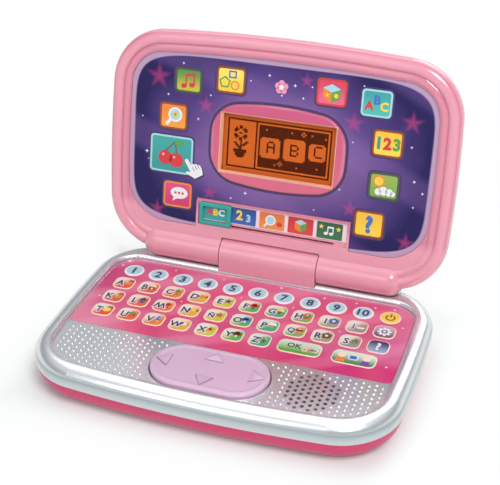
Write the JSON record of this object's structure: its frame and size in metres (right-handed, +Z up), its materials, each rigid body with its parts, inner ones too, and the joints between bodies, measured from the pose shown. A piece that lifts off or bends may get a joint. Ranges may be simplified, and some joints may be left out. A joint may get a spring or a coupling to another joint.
{
  "type": "toy laptop computer",
  "caption": "Child's toy laptop: hinged lid with a framed display and a sliding selector, silver-rimmed base with printed membrane keys, a rocking cursor pad and a speaker grille.",
  "frame": {"origin": "on the table, under the middle of the open toy's bounding box", "axes": "+X to the right as the user sees it, +Y away from the user towards the hinge, +Z up"},
  "size_m": [0.238, 0.1895, 0.1859],
  "materials": {
    "hot_pink_plastic": "satin moulded",
    "silver_plastic": "metallic silver lacquer on plastic",
    "foot_rubber": "matte",
    "screw_steel": "zinc plated",
    "pink_plastic": "gloss moulded",
    "bush_plastic": "moulded",
    "wire_cover": "matte",
    "printed_key_film": "printed gloss film",
    "clear_film": "clear film",
    "circuit_board": "solder mask",
    "plated_steel": "nickel plated",
    "cone_paper": "matte paper",
    "magnet_ferrite": "matte",
    "mat_rubber": "matte",
    "lilac_plastic": "satin moulded",
    "cell_can": "printed wrapper",
    "printed_screen_sheet": "printed gloss sheet",
    "bezel_plastic": "gloss moulded",
    "clear_pane": "clear gloss",
    "display_glass": "amber backlit",
    "printed_strip": "printed gloss sheet",
    "teal_plastic": "gloss moulded"
  },
  "bodies": {
    "base": {"base_bottom_shell": "hot_pink_plastic", "base_top_shell": "silver_plastic", "rubber_feet": "foot_rubber", "case_screws": "screw_steel", "hinge_block": "pink_plastic", "hinge_bushes": "bush_plastic", "hinge_wires_base": "wire_cover", "keyboard_overlay": "printed_key_film", "membrane_upper_sheet": "clear_film", "membrane_spacer": "clear_film", "membrane_lower_sheet": "clear_film", "main_board": "circuit_board", "main_board_screws": "screw_steel", "speaker_frame": "plated_steel", "speaker_cone": "cone_paper", "speaker_magnet": "magnet_ferrite", "cursor_board": "circuit_board", "cursor_rubber_mat": "mat_rubber", "battery_door": "hot_pink_plastic", "battery_door_screw": "screw_steel", "battery_contacts": "plated_steel", "aa_cells": "cell_can"},
    "lid": {"lid_front_shell": "pink_plastic", "lid_back_shell": "pink_plastic", "screen_panel": "printed_screen_sheet", "lcd_bezel": "bezel_plastic", "lcd_window": "clear_pane", "lcd_glass": "display_glass", "lcd_holder": "bush_plastic", "lid_board": "circuit_board", "hinge_wires_lid": "wire_cover", "selector_strip": "printed_strip", "lid_screws": "screw_steel"},
    "selector": {"selector_slider": "teal_plastic", "selector_wiper": "bush_plastic"},
    "cursor_pivot": {"cursor_pivot_ball": "bush_plastic"},
    "cursor_pad": {"cursor_pad": "lilac_plastic"}
  },
  "joints": [
    {"name": "lid_hinge", "type": "hinge", "parent": "base", "child": "lid", "pos_m": [0, 0.05824, 0.0383], "axis": [1, 0, 0], "range_deg": [0, 101.93]},
    {"name": "selector_slide", "type": "slide", "parent": "lid", "child": "selector", "axis": [1, 0, 0], "range_m": [0, 0.08]},
    {"name": "cursor_tilt_up_down", "type": "hinge", "parent": "base", "child": "cursor_pivot", "pos_m": [0, -0.05996, 0.022], "axis": [1, 0, 0], "range_deg": [-3.5, 3.5], "stiffness_Nm_per_rad": 0.6},
    {"name": "cursor_tilt_left_right", "type": "hinge", "parent": "cursor_pivot", "child": "cursor_pad", "pos_m": [0, -0.05996, 0.022], "axis": [0, 1, 0], "range_deg": [-2, 2], "stiffness_Nm_per_rad": 1.2}
  ]
}
